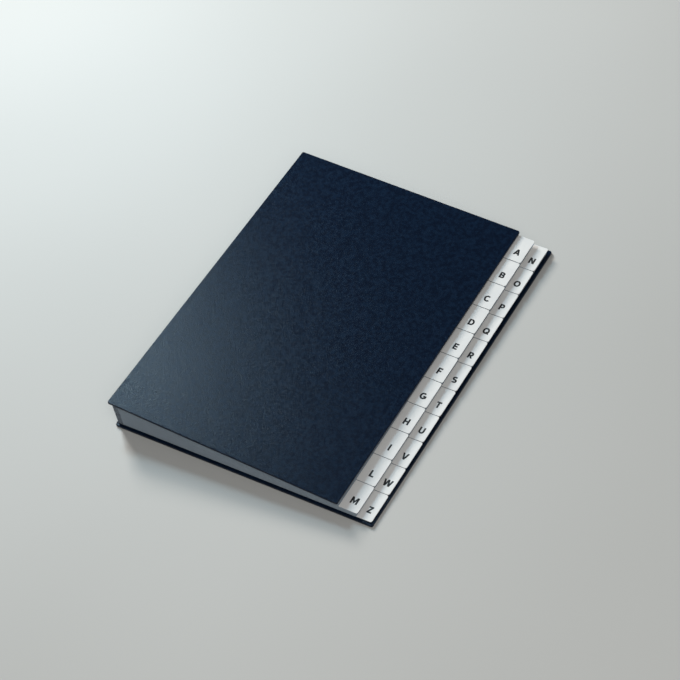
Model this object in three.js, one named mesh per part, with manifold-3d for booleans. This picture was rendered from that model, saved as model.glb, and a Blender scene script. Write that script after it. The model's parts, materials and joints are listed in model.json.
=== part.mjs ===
// Alphabetical desk sorter: two hard covers, a pleated cloth spine and 22 card leaves with stepped index tabs.
// Millimetres, +Z up. The sorter lies closed on its back cover, spine towards -X and foot towards -Y.
// The pleats make the spine thicker than the fore-edge, so the front cover slopes down towards the tabs.
import * as THREE from "three";
import { mergeVertices } from "three/addons/utils/BufferGeometryUtils.js";
import Module from "manifold-3d";

const wasm = await Module();
wasm.setup();

// Covers
const coverHeight = 340; // foot to head
const frontCoverWidth = 236; // spine to fore-edge; it stops short so that the tabs show
const boardThickness = 2.5; // grey board with its wrapping turned in
const boardEdgeRound = 0.5; // softness of the wrapped edges
const boardCornerRadius = 1.6;
const endpaperThickness = 0.2;
const endpaperInset = 3.5; // wrapping left bare round the endpaper
const endpaperGap = 0.3; // endpaper from the hinge cloth beside it

// Leaves and their two banks of index tabs
const frontLetters = ["a", "b", "c", "d", "e", "f", "g", "h", "i", "l", "m"];
const backLetters = ["n", "o", "p", "q", "r", "s", "t", "u", "v", "w", "z"];
const leafThickness = 0.32;
const coverOverhang = 2.5; // covers past the leaves at head and foot
const innerColumnWidth = 16.5; // tabs a to m, seen beside the front cover
const outerColumnWidth = 13; // tabs n to z, seen beside tabs a to m
const foreMargin = 2; // back cover seen outside the last tabs
const tabLap = 2; // card that runs on under what covers the tab's root
const tabAir = 0.4; // die-cut gap between neighbouring tabs
const tabCornerRadius = 1.6;
const sightHoleRadius = 10;
const sightHoleSpacing = 100;
const sightHoleFromSpine = 122;
const sightHoleCount = 3;

// Index labels, folded over the outer edge of each tab
const labelFilm = 0.1;
const labelFit = 0.04; // glue between the film and the card
const labelSetback = 0.3; // label edge from the step where the tab begins

// Pleated spine
const cloth = 0.25;
const glueLine = 0.05;
const hingeAir = 0.1; // between the folded cloth's two sides at a hinge
const hingeInset = 0.4; // cloth ends this far from a board's spine edge
const ridgeFromEdge = 2.2; // outer folds, set back from the boards' spine edge
const valleyFromEdge = 7.5; // inner folds
const hemWidth = 18; // cloth glued to the inside of each cover

// Air in the stack. There is more at the pleats than at the free edges, so the leaves fan out like a wedge.
const pleatAir = 0.34;
const leafAir = 0.1;
const coverAir = 0.35; // endpaper to the first leaf's place, at the free edges

const arcSteps = 2; // three.js makes two segments of each
const foldSteps = 4;

// Sizes that follow
const letters = [...frontLetters, ...backLetters];
const tabsPerColumn = frontLetters.length;
const leafHeight = coverHeight - 2 * coverOverhang;
const tabPitch = leafHeight / tabsPerColumn;
const innerTabEdge = frontCoverWidth + innerColumnWidth;
const outerTabEdge = innerTabEdge + outerColumnWidth;
const backCoverWidth = outerTabEdge + foreMargin;
const leafToCloth = leafThickness / 2 + glueLine + cloth / 2; // middle of the card to middle of its cloth
const coverToCloth = glueLine + cloth + hingeAir + cloth / 2; // board to the cloth that leaves the hinge
const ridgeCentre = ridgeFromEdge + cloth / 2 + leafToCloth; // also the bound edge of each leaf

// The fan is set at the spine edge and at its reach, the free edge of the outer bank's cards.
const fanReach = innerTabEdge - tabLap;
const spinePitch = 2 * leafToCloth + cloth + pleatAir;
const reachPitch = leafThickness + leafAir;
const bankAir = (labelFilm + labelFit) / reachPitch; // room for the label that lies between the banks
const places = letters.length + bankAir;
const spineMargin = coverToCloth + (cloth + pleatAir) / 2;
const reachMargin = glueLine + endpaperThickness + coverAir;

// Heights at a distance x from the spine edge. All are straight lines, so that covers and leaves stay flat.
const along = (atSpine, atReach, x) => atSpine + ((atReach - atSpine) * x) / fanReach;
const pitchAt = (x) => along(spinePitch, reachPitch, x);
const marginAt = (x) => along(spineMargin, reachMargin, x);
const frontFaceAt = (x) => boardThickness + 2 * marginAt(x) + places * pitchAt(x);

// Leaf a lies on top. The outer bank starts lower by the air between the banks.
function leafHeightAt(index, x) {
  const skipped = index < tabsPerColumn ? 0 : bankAir;
  const place = places - index - skipped - 0.5;
  return boardThickness + marginAt(x) + place * pitchAt(x);
}

function slopeOf(heightAt) {
  return Math.atan2(heightAt(0) - heightAt(fanReach), fanReach);
}

const finishes = {
  leatherette: { color: 0x14233d, roughness: 0.45, metalness: 0 },
  cloth: { color: 0x10161f, roughness: 0.85, metalness: 0 },
  endpaper: { color: 0x8f9aa3, roughness: 0.8, metalness: 0 },
  leafCard: { color: 0x93a1ae, roughness: 0.8, metalness: 0 },
  labelFilm: { color: 0xf1f1ec, roughness: 0.4, metalness: 0 },
};

function meshOf(name, geometry, finish) {
  const mesh = new THREE.Mesh(geometry, new THREE.MeshStandardMaterial(finishes[finish]));
  mesh.name = name;
  return mesh;
}

function toSolid(geometry) {
  const bare = geometry.clone();
  bare.deleteAttribute("normal");
  bare.deleteAttribute("uv");
  const merged = mergeVertices(bare);
  return new wasm.Manifold(
    new wasm.Mesh({
      numProp: 3,
      vertProperties: merged.attributes.position.array,
      triVerts: new Uint32Array(merged.index.array),
    }),
  );
}

function toGeometry(solid) {
  const { vertProperties, triVerts } = solid.getMesh();
  const geometry = new THREE.BufferGeometry();
  geometry.setAttribute("position", new THREE.BufferAttribute(vertProperties, 3));
  geometry.setIndex(new THREE.BufferAttribute(triVerts, 1));
  return geometry.toNonIndexed();
}

function roundedRectangle(left, right, low, high, radius) {
  const shape = new THREE.Shape();
  shape.moveTo(left + radius, low);
  shape.absarc(right - radius, low + radius, radius, -Math.PI / 2, 0);
  shape.absarc(right - radius, high - radius, radius, 0, Math.PI / 2);
  shape.absarc(left + radius, high - radius, radius, Math.PI / 2, Math.PI);
  shape.absarc(left + radius, low + radius, radius, Math.PI, Math.PI * 1.5);
  return shape;
}

function circle(x, y, radius) {
  const path = new THREE.Path();
  for (let quarter = 0; quarter < 4; quarter++) {
    path.absarc(x, y, radius, (quarter * Math.PI) / 2, ((quarter + 1) * Math.PI) / 2);
  }
  return path;
}

// A flat sheet cut to an outline, lying from height low upwards.
function sheet(shape, thickness, low) {
  const geometry = new THREE.ExtrudeGeometry(shape, {
    depth: thickness,
    bevelEnabled: false,
    curveSegments: arcSteps,
  });
  return geometry.translate(0, 0, low);
}

// A cover board, its wrapped edges softened all round, with its underside at height 0.
function board(width) {
  const half = coverHeight / 2;
  const shape = roundedRectangle(0, width, -half, half, boardCornerRadius);
  const geometry = new THREE.ExtrudeGeometry(shape, {
    depth: boardThickness - 2 * boardEdgeRound,
    bevelThickness: boardEdgeRound,
    bevelSize: boardEdgeRound,
    bevelOffset: -boardEdgeRound,
    bevelSegments: 2,
    curveSegments: arcSteps,
  });
  return geometry.translate(0, 0, boardEdgeRound);
}

function endpaper(coverWidth) {
  const half = coverHeight / 2 - endpaperInset;
  const left = hemWidth + endpaperGap;
  const shape = roundedRectangle(left, coverWidth - endpaperInset, -half, half, boardCornerRadius);
  return sheet(shape, endpaperThickness, 0);
}

function hem() {
  const half = leafHeight / 2;
  const shape = roundedRectangle(hingeInset, hemWidth, -half, half, cloth);
  return sheet(shape, cloth, 0);
}

// Where a leaf's tab lies in the plane of the leaf.
function tabOf(index) {
  const inFront = index < tabsPerColumn;
  const slot = inFront ? index : index - tabsPerColumn;
  const high = leafHeight / 2 - slot * tabPitch - tabAir / 2;
  return {
    root: inFront ? frontCoverWidth - tabLap : innerTabEdge - tabLap,
    edge: inFront ? innerTabEdge : outerTabEdge,
    high,
    low: high - tabPitch + tabAir,
  };
}

function leafShape(tab) {
  const half = leafHeight / 2;
  const cardEdge = tab.edge - labelFilm - labelFit;
  const shape = new THREE.Shape();
  shape.moveTo(ridgeCentre, -half);
  shape.lineTo(tab.root, -half);
  shape.lineTo(tab.root, tab.low);
  shape.absarc(cardEdge - tabCornerRadius, tab.low + tabCornerRadius, tabCornerRadius, -Math.PI / 2, 0);
  shape.absarc(cardEdge - tabCornerRadius, tab.high - tabCornerRadius, tabCornerRadius, 0, Math.PI / 2);
  shape.lineTo(tab.root, tab.high);
  shape.lineTo(tab.root, half);
  shape.lineTo(ridgeCentre, half);
  for (let hole = 0; hole < sightHoleCount; hole++) {
    const fromMiddle = hole - (sightHoleCount - 1) / 2;
    shape.holes.push(circle(sightHoleFromSpine, fromMiddle * sightHoleSpacing, sightHoleRadius));
  }
  return shape;
}

// The film is folded round the tab's outer edge: a rounded slab with a slot for the card.
function labelGeometry(tab) {
  const radius = tabCornerRadius;
  const start = tab.root + labelSetback;
  const shape = new THREE.Shape();
  shape.moveTo(start, tab.low);
  shape.lineTo(tab.edge - radius, tab.low);
  shape.absarc(tab.edge - radius, tab.low + radius, radius, -Math.PI / 2, 0);
  shape.absarc(tab.edge - radius, tab.high - radius, radius, 0, Math.PI / 2);
  shape.lineTo(start, tab.high);
  const slotThickness = leafThickness + 2 * labelFit;
  const thickness = slotThickness + 2 * labelFilm;
  const outside = toSolid(sheet(shape, thickness, -thickness / 2));
  const slotLength = 2 * (tab.edge - labelFilm - start);
  const slot = new THREE.BoxGeometry(slotLength, 2 * tabPitch, slotThickness);
  slot.translate(start, (tab.low + tab.high) / 2, 0);
  return toGeometry(outside.subtract(toSolid(slot)));
}

// A strip of constant thickness along a centre line, as a closed outline.
function ribbonShape(points, thickness) {
  const left = [];
  const right = [];
  points.forEach((point, i) => {
    const before = points[Math.max(i - 1, 0)];
    const after = points[Math.min(i + 1, points.length - 1)];
    const inward = point.clone().sub(before).normalize();
    const outward = after.clone().sub(point).normalize();
    const way = inward.add(outward).normalize();
    const side = new THREE.Vector2(-way.y, way.x).multiplyScalar(thickness / 2);
    left.push(point.clone().add(side));
    right.unshift(point.clone().sub(side));
  });
  return new THREE.Shape([...left, ...right]);
}

// Points of a half turn between two layers of cloth, bulging to the right (+1) or the left (-1).
function fold(x, upper, lower, side) {
  const radius = (upper - lower) / 2;
  const centre = (upper + lower) / 2;
  const points = [];
  for (let step = 0; step <= foldSteps; step++) {
    const angle = Math.PI / 2 - (step * Math.PI) / foldSteps;
    points.push(new THREE.Vector2(x + side * radius * Math.cos(angle), centre + radius * Math.sin(angle)));
  }
  return points;
}

// The section of the pleated cloth, from the front cover's hinge down to the back cover's.
// Each leaf's bound edge is glued into an outer fold, and an inner fold joins it to the next leaf.
function gussetLine() {
  const top = (x) => frontFaceAt(x) - coverToCloth;
  const bottom = boardThickness + coverToCloth;
  const line = [new THREE.Vector2(hingeInset, top(hingeInset))];
  let upper = top(valleyFromEdge);
  letters.forEach((letter, index) => {
    const atValley = leafHeightAt(index, valleyFromEdge);
    const atRidge = leafHeightAt(index, ridgeCentre);
    line.push(...fold(valleyFromEdge, upper, atValley + leafToCloth, 1));
    line.push(...fold(ridgeCentre, atRidge + leafToCloth, atRidge - leafToCloth, -1));
    upper = atValley - leafToCloth;
  });
  line.push(...fold(valleyFromEdge, upper, bottom, 1));
  line.push(new THREE.Vector2(hingeInset, bottom));
  return line;
}

function gusset() {
  const geometry = new THREE.ExtrudeGeometry(ribbonShape(gussetLine(), cloth), {
    depth: leafHeight,
    bevelEnabled: false,
  });
  geometry.rotateX(Math.PI / 2);
  return geometry.translate(0, leafHeight / 2, 0);
}

function backCover() {
  const group = new THREE.Group();
  const paper = meshOf("back_endpaper", endpaper(backCoverWidth), "endpaper");
  paper.position.z = boardThickness + glueLine;
  const strip = meshOf("back_hinge_cloth", hem(), "cloth");
  strip.position.z = boardThickness + glueLine;
  group.add(meshOf("back_cover", board(backCoverWidth), "leatherette"), paper, strip);
  return group;
}

function frontCover() {
  const group = new THREE.Group();
  const paper = meshOf("front_endpaper", endpaper(frontCoverWidth), "endpaper");
  paper.position.z = -glueLine - endpaperThickness;
  const strip = meshOf("front_hinge_cloth", hem(), "cloth");
  strip.position.z = -glueLine - cloth;
  group.add(meshOf("front_cover", board(frontCoverWidth), "leatherette"), paper, strip);
  group.position.z = frontFaceAt(0);
  group.rotation.y = slopeOf(frontFaceAt);
  return group;
}

function leafWithLabel(letter, index) {
  const tab = tabOf(index);
  const card = sheet(leafShape(tab), leafThickness, -leafThickness / 2);
  const group = new THREE.Group();
  group.add(meshOf(`leaf_${letter}`, card, "leafCard"));
  group.add(meshOf(`index_label_${letter}`, labelGeometry(tab), "labelFilm"));
  group.position.z = leafHeightAt(index, 0);
  group.rotation.y = slopeOf((x) => leafHeightAt(index, x));
  return group;
}

const sorter = new THREE.Group();
sorter.add(backCover(), meshOf("spine_gusset", gusset(), "cloth"), frontCover());
letters.forEach((letter, index) => sorter.add(leafWithLabel(letter, index)));
sorter.position.x = -backCoverWidth / 2;

export default sorter;
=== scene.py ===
"""Looks of the alphabetical desk sorter: leatherette covers, pleated cloth spine, leaves, printed tabs.

Lengths are in metres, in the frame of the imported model: +X towards the tabs, +Y towards the head, +Z up.
"""

import json
import math

import bmesh
import bpy
from mathutils import Matrix, Vector


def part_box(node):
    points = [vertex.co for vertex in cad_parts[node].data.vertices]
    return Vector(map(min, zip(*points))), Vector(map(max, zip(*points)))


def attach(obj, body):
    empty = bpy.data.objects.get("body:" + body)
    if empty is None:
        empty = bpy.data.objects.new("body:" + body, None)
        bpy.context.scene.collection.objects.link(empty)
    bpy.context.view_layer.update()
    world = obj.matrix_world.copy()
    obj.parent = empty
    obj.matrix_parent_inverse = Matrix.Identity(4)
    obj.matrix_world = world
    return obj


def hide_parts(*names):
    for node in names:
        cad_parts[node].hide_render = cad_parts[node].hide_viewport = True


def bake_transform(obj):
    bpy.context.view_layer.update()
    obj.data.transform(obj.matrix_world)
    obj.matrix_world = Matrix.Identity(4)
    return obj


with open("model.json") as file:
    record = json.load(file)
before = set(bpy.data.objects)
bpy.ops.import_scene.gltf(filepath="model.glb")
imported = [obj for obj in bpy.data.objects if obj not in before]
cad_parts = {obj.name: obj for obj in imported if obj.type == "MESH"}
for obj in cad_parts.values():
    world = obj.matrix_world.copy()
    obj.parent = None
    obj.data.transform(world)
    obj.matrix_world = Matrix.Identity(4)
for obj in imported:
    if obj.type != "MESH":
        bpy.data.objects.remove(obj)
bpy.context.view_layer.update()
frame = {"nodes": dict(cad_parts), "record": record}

MM = 0.001
INNER_LETTERS = "abcdefghilm"
OUTER_LETTERS = "nopqrstuvwz"
LETTERS = INNER_LETTERS + OUTER_LETTERS
UP = Vector((0, 0, 1))
TOWARDS_HEAD = Vector((0, 1, 0))

# Camera, fitted to the corners of the covers. The focal length is in pixels of the square frame.
FRAME_PIXELS = 680
FOCAL_PIXELS = 1937
SENSOR_WIDTH = 36  # millimetres, as the camera's lens value is
CAMERA_PLACE = Vector((753.5, -898.5, 1324.2)) * MM
CAMERA_FORWARD = Vector((-0.4247, 0.5079, -0.7494))
CAMERA_UP = Vector((-0.3009, 0.7015, 0.6460))


# Small helpers

FACES_UP = 0.9  # upward part of a normal, from which a face belongs to the upper side of a flat node
SHARPEST_MITRE = 0.5  # keeps a mitre at a sharp turn from running far out


def new_object(name, data):
    piece = bpy.data.objects.new(name, data)
    bpy.context.scene.collection.objects.link(piece)
    return piece


def plane_of(node):
    """Upward normal of a flat node, and how far its upper and its lower face lie along that normal."""
    mesh = frame["nodes"][node].data
    normal = Vector((0, 0, 0))
    for polygon in mesh.polygons:
        if polygon.normal.z > FACES_UP:
            normal += polygon.normal * polygon.area
    normal.normalize()
    distances = [normal.dot(vertex.co) for vertex in mesh.vertices]
    return normal, max(distances), min(distances)


def height_on(plane, x):
    """Height of a plane that is level along Y, at a distance x along X."""
    normal, distance = plane
    return (distance - normal.x * x) / normal.z


def strip_sides(points, width):
    """Left and right edges of a strip of even width along a line of points, mitred at its turns."""
    left = []
    right = []
    for index, point in enumerate(points):
        here = Vector(point)
        ways = []
        if index > 0:
            ways.append((here - Vector(points[index - 1])).normalized())
        if index < len(points) - 1:
            ways.append((Vector(points[index + 1]) - here).normalized())
        way = sum(ways, Vector((0, 0))).normalized()
        side = Vector((-way.y, way.x)) * width / 2 / max(way.dot(ways[0]), SHARPEST_MITRE)
        left.append(here + side)
        right.append(here - side)
    return left, right


# Materials. Noise scales are in cells to the metre, and colours are linear.

NOISE_LOW = 0.3  # nearly all values of a noise lie between these two
NOISE_HIGH = 0.7


def new_material(name):
    material = bpy.data.materials.new(name)
    material.use_nodes = True
    nodes = material.node_tree.nodes
    return material, nodes, material.node_tree.links, nodes["Principled BSDF"]


def noise_node(nodes, links, coordinates, scale, detail=3, roughness=0.5):
    node = nodes.new("ShaderNodeTexNoise")
    node.inputs["Scale"].default_value = scale
    node.inputs["Detail"].default_value = detail
    node.inputs["Roughness"].default_value = roughness
    links.new(coordinates, node.inputs["Vector"])
    return node.outputs["Fac"]


def ramp_node(nodes, links, value, low, high, low_at=NOISE_LOW, high_at=NOISE_HIGH):
    """Colour that goes from low to high while the value goes from low_at to high_at."""
    node = nodes.new("ShaderNodeValToRGB")
    node.color_ramp.elements[0].position = low_at
    node.color_ramp.elements[1].position = high_at
    node.color_ramp.elements[0].color = (*low, 1)
    node.color_ramp.elements[1].color = (*high, 1)
    links.new(value, node.inputs["Fac"])
    return node.outputs["Color"]


def range_node(nodes, links, value, low, high, low_at=NOISE_LOW, high_at=NOISE_HIGH):
    """Number that goes from low to high while the value goes from low_at to high_at."""
    node = nodes.new("ShaderNodeMapRange")
    node.inputs["From Min"].default_value = low_at
    node.inputs["From Max"].default_value = high_at
    node.inputs["To Min"].default_value = low
    node.inputs["To Max"].default_value = high
    links.new(value, node.inputs["Value"])
    return node.outputs["Result"]


def math_node(nodes, links, operation, first, second):
    """Result of one operation on two values, each a number or another node's output."""
    node = nodes.new("ShaderNodeMath")
    node.operation = operation
    for socket, value in zip(node.inputs, (first, second)):
        if isinstance(value, (int, float)):
            socket.default_value = value
        else:
            links.new(value, socket)
    return node.outputs["Value"]


def bump_node(nodes, links, height, distance, shader, strength=1.0):
    node = nodes.new("ShaderNodeBump")
    node.inputs["Strength"].default_value = strength
    node.inputs["Distance"].default_value = distance
    links.new(height, node.inputs["Height"])
    links.new(node.outputs["Normal"], shader.inputs["Normal"])


def object_coordinates(nodes):
    return nodes.new("ShaderNodeTexCoord").outputs["Object"]


LEATHERETTE_DARK = (0.0005, 0.0045, 0.0155)
LEATHERETTE_LIGHT = (0.0018, 0.0100, 0.0280)
LEATHERETTE_ROUGHNESS = {"low": 0.28, "high": 0.35}
MOTTLE_TURN = {"low_at": 0.42, "high_at": 0.60}  # narrow, for an even share of dark and light patches
PEBBLES_PER_METRE = 800
PEBBLE_FLANK = 0.35  # of a pebble's width, over which it rises from its groove
PORE_SHARE = 0.5  # height of the pores beside that of the pebbles


def leatherette():
    """Navy paper-backed leatherette: a fine pebbled grain, pressed into a satin coating."""
    material, nodes, links, shader = new_material("navy_leatherette")
    place = object_coordinates(nodes)
    mottle = noise_node(nodes, links, place, scale=240, detail=6, roughness=0.7)
    color = ramp_node(nodes, links, mottle, LEATHERETTE_DARK, LEATHERETTE_LIGHT, **MOTTLE_TURN)
    links.new(color, shader.inputs["Base Color"])
    satin = range_node(nodes, links, mottle, **LEATHERETTE_ROUGHNESS, **MOTTLE_TURN)
    links.new(satin, shader.inputs["Roughness"])

    cells = nodes.new("ShaderNodeTexVoronoi")
    cells.feature = "DISTANCE_TO_EDGE"
    cells.inputs["Scale"].default_value = PEBBLES_PER_METRE
    links.new(place, cells.inputs["Vector"])
    from_groove = cells.outputs["Distance"]
    pebbles = range_node(nodes, links, from_groove, low=0, high=1, low_at=0, high_at=PEBBLE_FLANK)
    pores = noise_node(nodes, links, place, scale=2600, detail=2)
    swells = noise_node(nodes, links, place, scale=260, detail=3)
    grain = math_node(nodes, links, "ADD", pebbles, math_node(nodes, links, "MULTIPLY", pores, PORE_SHARE))
    grain = math_node(nodes, links, "ADD", grain, swells)
    bump_node(nodes, links, grain, distance=0.06 * MM, shader=shader, strength=0.8)
    shader.inputs["IOR"].default_value = 1.5
    shader.inputs["Specular IOR Level"].default_value = 0.2
    return material


def weave(name, dark, light, threads, depth, roughness):
    """Woven cloth: two crossed sets of threads in the bump, and flecks of lighter thread in the colour."""
    material, nodes, links, shader = new_material(name)
    place = object_coordinates(nodes)
    crossed = []
    for direction in ("X", "Y", "Z"):
        wave = nodes.new("ShaderNodeTexWave")
        wave.bands_direction = direction
        wave.inputs["Scale"].default_value = threads
        wave.inputs["Distortion"].default_value = 0.6
        wave.inputs["Detail"].default_value = 1
        links.new(place, wave.inputs["Vector"])
        crossed.append(wave.outputs["Fac"])
    along_x, along_y, along_z = crossed
    height = math_node(nodes, links, "MULTIPLY", along_x, along_z)
    height = math_node(nodes, links, "MAXIMUM", height, along_y)
    flecks = noise_node(nodes, links, place, scale=1500, detail=3, roughness=0.7)
    links.new(ramp_node(nodes, links, flecks, dark, light), shader.inputs["Base Color"])
    bump_node(nodes, links, height, distance=depth, shader=shader, strength=0.7)
    shader.inputs["Roughness"].default_value = roughness
    shader.inputs["Sheen Weight"].default_value = 0.15
    shader.inputs["Sheen Roughness"].default_value = 0.5
    return material


FIBRE_LENGTHENING = 4  # fibres lie along the height of the card


def card(name, dark, light, roughness):
    """Dyed card or paper: cloudy pulp, short fibres and a faint tooth."""
    material, nodes, links, shader = new_material(name)
    place = object_coordinates(nodes)
    clouds = noise_node(nodes, links, place, scale=90, detail=4, roughness=0.6)
    links.new(ramp_node(nodes, links, clouds, dark, light), shader.inputs["Base Color"])
    stretched = nodes.new("ShaderNodeMapping")
    stretched.inputs["Scale"].default_value = (1, 1 / FIBRE_LENGTHENING, 1)
    links.new(place, stretched.inputs["Vector"])
    fibres = noise_node(nodes, links, stretched.outputs["Vector"], scale=2200, detail=4, roughness=0.7)
    bump_node(nodes, links, fibres, distance=0.03 * MM, shader=shader, strength=0.5)
    shader.inputs["Roughness"].default_value = roughness
    return material


LABEL_DARK = (0.80, 0.795, 0.785)
LABEL_LIGHT = (0.86, 0.85, 0.83)


def label_film():
    """White paper label under a thin clear film."""
    material, nodes, links, shader = new_material("label_film")
    place = object_coordinates(nodes)
    clouds = noise_node(nodes, links, place, scale=60, detail=3)
    color = ramp_node(nodes, links, clouds, LABEL_DARK, LABEL_LIGHT)
    links.new(color, shader.inputs["Base Color"])
    ripples = noise_node(nodes, links, place, scale=160, detail=2)
    bump_node(nodes, links, ripples, distance=0.08 * MM, shader=shader, strength=0.35)
    shader.inputs["Roughness"].default_value = 0.38
    shader.inputs["Coat Weight"].default_value = 0.35
    shader.inputs["Coat Roughness"].default_value = 0.15
    return material


INK_DARK = (0.010, 0.010, 0.011)
INK_LIGHT = (0.022, 0.022, 0.024)


def ink():
    """Black printing ink, a little uneven."""
    material, nodes, links, shader = new_material("black_ink")
    place = object_coordinates(nodes)
    spread = noise_node(nodes, links, place, scale=900, detail=3, roughness=0.6)
    links.new(ramp_node(nodes, links, spread, INK_DARK, INK_LIGHT), shader.inputs["Base Color"])
    shader.inputs["Roughness"].default_value = 0.35
    return material


def dress_cad(materials):
    """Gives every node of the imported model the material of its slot."""
    for entry in frame["record"]["subparts"]:
        node = frame["nodes"][entry["node"]]
        node.data.materials.clear()
        node.data.materials.append(materials[entry["material_slot"]])


# Index letters, printed on both sides of each tab. A letter is drawn in strokes on a cell of height 1.
# Strokes may run past the cell's foot and head, where they are trimmed level.

CAP_HEIGHT = 7.0 * MM
STROKE = 0.24  # width of a stroke, as a part of the cap height
INK_THICKNESS = 0.02 * MM
INK_LIFT = 0.01 * MM  # from the label's face to the middle of the ink
LETTER_FROM_CENTRE = -4.2 * MM  # towards the foot of the tab
LETTER_INSET = {"inner": 8.4 * MM, "outer": 7.2 * MM}  # from the tab's outer edge to the letter's middle
ARC_STEPS = 24  # in a full circle


def arc(x, y, wide, tall, start, end):
    """Part of an ellipse about (x, y), from one angle to another in degrees."""
    steps = max(2, round(abs(end - start) / 360 * ARC_STEPS))
    angles = [math.radians(start + (end - start) * step / steps) for step in range(steps + 1)]
    return [(x + wide * math.cos(angle), y + tall * math.sin(angle)) for angle in angles]


def stem(x):
    return [(x, -0.1), (x, 1.1)]


def bar(y, width):
    return [(0.1, y), (width, y)]


BOWL = arc(0.44, 0.5, 0.34, 0.4, 50, 322)
RING = arc(0.44, 0.5, 0.34, 0.4, 0, 360)
UPPER_LOOP = [(0.1, 0.9), *arc(0.34, 0.67, 0.23, 0.23, 90, -90), (0.1, 0.44)]

STROKES = {
    "a": [[(0.072, -0.1), (0.462, 1.1)], [(0.788, -0.1), (0.398, 1.1)], [(0.18, 0.3), (0.68, 0.3)]],
    "b": [
        stem(0.1),
        [(0.1, 0.9), *arc(0.36, 0.71, 0.19, 0.19, 90, -90), (0.1, 0.52)],
        [(0.1, 0.52), *arc(0.38, 0.31, 0.21, 0.21, 90, -90), (0.1, 0.1)],
    ],
    "c": [BOWL],
    "d": [stem(0.1), [(0.1, 0.9), *arc(0.3, 0.5, 0.37, 0.4, 90, -90), (0.1, 0.1)]],
    "e": [stem(0.1), bar(0.9, 0.62), bar(0.5, 0.56), bar(0.1, 0.62)],
    "f": [stem(0.1), bar(0.9, 0.6), bar(0.47, 0.54)],
    "g": [BOWL, [(0.46, 0.45), (0.77, 0.45), (0.77, 0.16)]],
    "h": [stem(0.1), stem(0.64), bar(0.5, 0.64)],
    "i": [stem(0.1)],
    "l": [stem(0.1), bar(0.1, 0.6)],
    "m": [stem(0.1), stem(0.84), [(0.06, 1.1), (0.47, 0.24), (0.88, 1.1)]],
    "n": [stem(0.1), stem(0.66), [(0.053, 1.1), (0.707, -0.1)]],
    "o": [RING],
    "p": [stem(0.1), UPPER_LOOP],
    "q": [RING, [(0.5, 0.34), (0.86, -0.06)]],
    "r": [stem(0.1), UPPER_LOOP, [(0.32, 0.46), (0.6, -0.1)]],
    "s": [[*arc(0.34, 0.7, 0.23, 0.2, 35, 270), *arc(0.34, 0.3, 0.24, 0.2, 90, -145)[1:]]],
    "t": [stem(0.34), [(0, 0.9), (0.68, 0.9)]],
    "u": [[(0.1, 1.1), (0.1, 0.38), *arc(0.37, 0.38, 0.27, 0.28, 180, 360)[1:], (0.64, 1.1)]],
    "v": [[(0.074, 1.1), (0.452, -0.1)], [(0.766, 1.1), (0.388, -0.1)]],
    "w": [
        [(0.078, 1.1), (0.37, -0.1)],
        [(0.322, -0.1), (0.632, 1.1)],
        [(0.582, 1.1), (0.892, -0.1)],
        [(0.844, -0.1), (1.136, 1.1)],
    ],
    "z": [[(0.03, 0.9), (0.66, 0.9)], [(0.57, 0.9), (0.11, 0.1)], [(0.02, 0.1), (0.66, 0.1)]],
}


def letter_mesh(letter):
    """Thin solid strokes, trimmed level at the cell's foot and head."""
    glyph = bmesh.new()
    for points in STROKES[letter]:
        sides = [[glyph.verts.new((p.x, p.y, 0)) for p in side] for side in strip_sides(points, STROKE)]
        left, right = sides
        for i in range(len(points) - 1):
            glyph.faces.new((left[i], right[i], right[i + 1], left[i + 1]))
    for level, outward in ((0, -1), (1, 1)):
        everything = glyph.verts[:] + glyph.edges[:] + glyph.faces[:]
        plane = {"plane_co": (0, level, 0), "plane_no": (0, outward, 0)}
        bmesh.ops.bisect_plane(glyph, geom=everything, clear_outer=True, **plane)
    bmesh.ops.scale(glyph, vec=(CAP_HEIGHT, CAP_HEIGHT, 1), verts=glyph.verts)
    bmesh.ops.recalc_face_normals(glyph, faces=glyph.faces)
    bmesh.ops.solidify(glyph, geom=glyph.faces, thickness=INK_THICKNESS)
    bmesh.ops.recalc_face_normals(glyph, faces=glyph.faces)
    mesh = bpy.data.meshes.new(f"letter_{letter}")
    glyph.to_mesh(mesh)
    glyph.free()
    low, high = span(mesh, 2)
    mesh.transform(Matrix.Translation((0, 0, -(low + high) / 2)))
    return mesh


def span(mesh, axis):
    """Lowest and highest value of a mesh on one axis."""
    values = [vertex.co[axis] for vertex in mesh.vertices]
    return min(values), max(values)


def print_letters(material):
    """Sets each letter on its label, front and back, square to the tab's slope."""
    for letter in LETTERS:
        label = f"index_label_{letter}"
        low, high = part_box(label)
        normal, top, bottom = plane_of(label)
        along = Vector((normal.z, 0, -normal.x))
        column = "inner" if letter in INNER_LETTERS else "outer"
        x = high.x - LETTER_INSET[column]
        y = (low.y + high.y) / 2 + LETTER_FROM_CENTRE
        for side, distance, facing in (("front", top + INK_LIFT, 1), ("back", bottom - INK_LIFT, -1)):
            mesh = letter_mesh(letter)
            left, right = span(mesh, 0)
            foot, head = span(mesh, 1)
            mesh.transform(Matrix.Translation((-(left + right) / 2, -(foot + head) / 2, 0)))
            axes = Matrix((facing * along, TOWARDS_HEAD, facing * normal)).transposed()
            place = Vector((x, y, height_on((normal, distance), x)))
            mesh.transform(Matrix.Translation(place) @ axes.to_4x4())
            mesh.materials.append(material)
            piece = new_object(f"letter_{letter}_{side}", mesh)
            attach(piece, "leaf_block")


# Pleated spine and the hinge cloth that turns back from it over the inside of each cover

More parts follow.
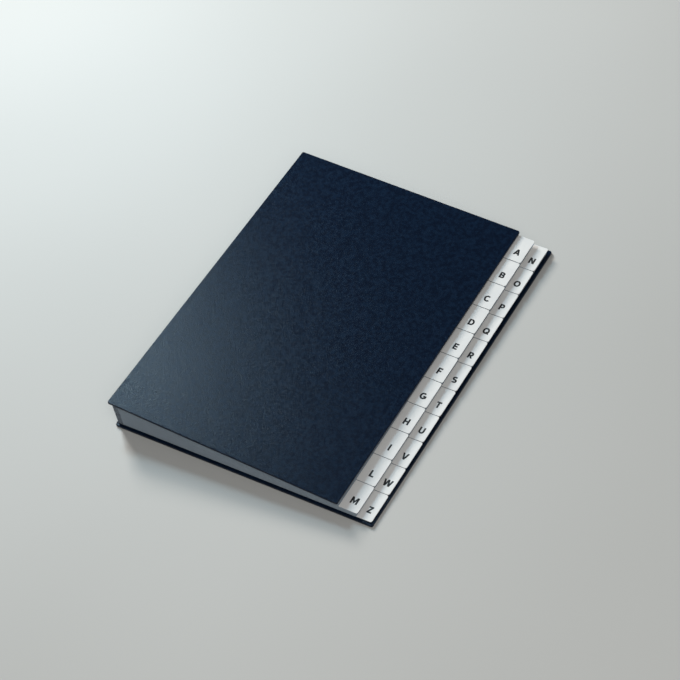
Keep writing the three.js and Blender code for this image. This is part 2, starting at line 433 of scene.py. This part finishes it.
CLOTH = 0.25 * MM
GLUE = 0.05 * MM
HINGE_AIR = 0.1 * MM  # between the hem and the first run of the pleats
HINGE_INSET = 0.4 * MM  # from the spine edge to the start of the fold at a hinge
VALLEY_FROM_EDGE = 7.5 * MM  # from the spine edge to the inner folds
HEM_WIDTH = 18 * MM
TO_HEM = GLUE + CLOTH / 2  # from a board to the middle of the hem
TO_PLEATS = GLUE + CLOTH + HINGE_AIR + CLOTH / 2  # from a board to the middle of the first run
FOLD_STEPS = 12
CUT_EDGE = 0.5  # part of a normal along Y, from which a face belongs to a cut edge and stays flat
CREASE_ANGLE = math.radians(40)


def half_turn(x, first, last, side):
    """Points of a fold from one height to another, bulging towards +X or -X by the sign of side."""
    radius = abs(first - last) / 2
    middle = (first + last) / 2
    points = []
    for step in range(FOLD_STEPS + 1):
        turn = math.pi * step / FOLD_STEPS
        points.append((x + side * radius * math.sin(turn), middle + (first - last) / 2 * math.cos(turn)))
    return points


def ribbon(name, points, thickness, low_y, high_y, material):
    """Strip of cloth that follows a line of (x, z) points and runs from low_y to high_y."""
    left, right = strip_sides(points, thickness)
    outline = left + right[::-1]
    count = len(outline)
    last = len(points) - 1
    vertices = [(p.x, low_y, p.y) for p in outline] + [(p.x, high_y, p.y) for p in outline]
    faces = [(i, (i + 1) % count, (i + 1) % count + count, i + count) for i in range(count)]
    for i in range(last):
        j = count - 1 - i
        faces.append((i, j, j - 1, i + 1))
        faces.append((i + count, i + 1 + count, j - 1 + count, j + count))
    mesh = bpy.data.meshes.new(name)
    mesh.from_pydata(vertices, [], faces)
    cloth_mesh = bmesh.new()
    cloth_mesh.from_mesh(mesh)
    bmesh.ops.recalc_face_normals(cloth_mesh, faces=cloth_mesh.faces)
    for face in cloth_mesh.faces:
        face.smooth = abs(face.normal.y) < CUT_EDGE
    for edge in cloth_mesh.edges:
        edge.smooth = edge.calc_face_angle(0) < CREASE_ANGLE
    cloth_mesh.to_mesh(mesh)
    cloth_mesh.free()
    mesh.materials.append(material)
    return new_object(name, mesh)


def pleat_spine(material):
    """One strip, from the front hinge through every fold to the back hinge. Outer folds hold the leaves."""
    spine_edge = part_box("back_cover")[0].x
    leaf_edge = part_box("leaf_a")[0].x
    low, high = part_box("spine_gusset")
    cover_normal, _, cover_face = plane_of("front_cover")
    board_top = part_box("back_cover")[1].z
    valley = spine_edge + VALLEY_FROM_EDGE
    hinge = spine_edge + HINGE_INSET
    cover_plane = (cover_normal, cover_face)
    points = [(hinge, height_on(cover_plane, hinge) - TO_PLEATS)]
    upper = height_on(cover_plane, valley) - TO_PLEATS
    for letter in LETTERS:
        normal, above, below = plane_of(f"leaf_{letter}")
        middle = (normal, (above + below) / 2)
        to_leaf = (above - below) / 2 + GLUE + CLOTH / 2
        at_valley = height_on(middle, valley)
        at_ridge = height_on(middle, leaf_edge)
        points += half_turn(valley, upper, at_valley + to_leaf, 1)
        points += half_turn(leaf_edge, at_ridge + to_leaf, at_ridge - to_leaf, -1)
        upper = at_valley - to_leaf
    points += half_turn(valley, upper, board_top + TO_PLEATS, 1)
    points.append((hinge, board_top + TO_PLEATS))
    spine = ribbon("pleated_spine", points, CLOTH, low.y, high.y, material)
    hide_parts("spine_gusset")
    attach(spine, "leaf_block")


def hinge_cloth(node, plane, facing, material):
    """Hem glued to the inside of a cover, with the half turn that leads on to the pleats.

    The plane is the cover's inner face. Facing is 1 where that face looks up, -1 where it looks down.
    """
    spine_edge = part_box("back_cover")[0].x
    low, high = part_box(node)
    hinge = spine_edge + HINGE_INSET
    hem_end = spine_edge + HEM_WIDTH
    to_hem = facing * TO_HEM
    to_pleats = facing * TO_PLEATS
    at_hinge = height_on(plane, hinge)
    points = [(hem_end, height_on(plane, hem_end) + to_hem)]
    points += half_turn(hinge, at_hinge + to_hem, at_hinge + to_pleats, -1)
    cloth = ribbon(node.replace("_cloth", "_fold"), points, CLOTH, low.y, high.y, material)
    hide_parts(node)
    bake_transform(cloth)


def line_hinges(material):
    normal, _, cover_face = plane_of("front_cover")
    board_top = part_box("back_cover")[1].z
    hinge_cloth("front_hinge_cloth", (normal, cover_face), -1, material)
    hinge_cloth("back_hinge_cloth", (UP, board_top), 1, material)


# Floor, light and camera

FLOOR_DROP = 0.1 * MM  # keeps the floor's face off the underside of the back cover
FLOOR_REACH = 6  # metres to each side
FLOOR_DARK = (0.515, 0.51, 0.49)
FLOOR_LIGHT = (0.56, 0.555, 0.535)


def floor_material():
    material, nodes, links, shader = new_material("pale_floor")
    place = object_coordinates(nodes)
    clouds = noise_node(nodes, links, place, scale=1.5, detail=2)
    links.new(ramp_node(nodes, links, clouds, FLOOR_DARK, FLOOR_LIGHT), shader.inputs["Base Color"])
    shader.inputs["Roughness"].default_value = 0.9
    return material


def lay_floor():
    mesh = bpy.data.meshes.new("floor")
    quarters = ((-1, -1), (1, -1), (1, 1), (-1, 1))
    corners = [(x * FLOOR_REACH, y * FLOOR_REACH, -FLOOR_DROP) for x, y in quarters]
    mesh.from_pydata(corners, [], [(0, 1, 2, 3)])
    mesh.materials.append(floor_material())
    floor = new_object("floor", mesh)


def softbox(name, direction, distance, size, watts, color):
    """Square lamp that looks at the origin from a distance."""
    data = bpy.data.lights.new(name, "AREA")
    data.shape = "RECTANGLE"
    data.size = size
    data.size_y = size
    data.energy = watts
    data.color = color
    lamp = new_object(name, data)
    lamp.location = Vector(direction).normalized() * distance
    lamp.rotation_euler = (-lamp.location).to_track_quat("-Z", "Y").to_euler()
    return lamp


def light_scene():
    """Weak even sky, warm key lamp, broad fill, and a small cool lamp for the sheen of the cover."""
    world = bpy.data.worlds.new("studio")
    bpy.context.scene.world = world
    world.use_nodes = True
    background = world.node_tree.nodes["Background"]
    background.inputs["Color"].default_value = (0.93, 0.96, 1.0, 1)
    background.inputs["Strength"].default_value = 0.15
    key = softbox("key", (-0.70, 0.46, 0.48), distance=2.4, size=0.6, watts=52, color=(1.0, 0.955, 0.90))
    key.visible_glossy = False  # the satin cover would mirror it as a white patch
    softbox("sheen", (-0.60, 0.28, 0.75), distance=1.05, size=0.2, watts=5, color=(0.62, 0.86, 1.0))
    softbox("fill", (0.40, -0.48, 0.78), distance=2.4, size=1.6, watts=20, color=(1.0, 0.985, 0.95))


def place_camera():
    data = bpy.data.cameras.new("camera")
    data.sensor_width = SENSOR_WIDTH
    data.lens = FOCAL_PIXELS * SENSOR_WIDTH / FRAME_PIXELS
    camera = new_object("camera", data)
    backward = -CAMERA_FORWARD.normalized()
    right = CAMERA_UP.cross(backward).normalized()
    up = backward.cross(right)
    axes = Matrix((right, up, backward)).transposed()
    camera.matrix_world = Matrix.Translation(CAMERA_PLACE) @ axes.to_4x4()
    bpy.context.scene.camera = camera


# Assembly

place_camera()
light_scene()
lay_floor()
SPINE_CLOTH = weave(
    "spine_cloth",
    dark=(0.020, 0.028, 0.045),
    light=(0.045, 0.060, 0.090),
    threads=900,
    depth=0.05 * MM,
    roughness=0.8,
)
MATERIALS = {
    "leatherette": leatherette(),
    "spine_cloth": SPINE_CLOTH,
    "endpaper": card("endpaper", dark=(0.285, 0.325, 0.375), light=(0.315, 0.355, 0.405), roughness=0.85),
    "leaf_card": card("leaf_card", dark=(0.315, 0.375, 0.435), light=(0.345, 0.405, 0.465), roughness=0.8),
    "index_label": label_film(),
}
dress_cad(MATERIALS)
print_letters(ink())
pleat_spine(SPINE_CLOTH)
line_hinges(SPINE_CLOTH)

bpy.context.scene.view_settings.view_transform = "Standard"
bpy.context.view_layer.update()
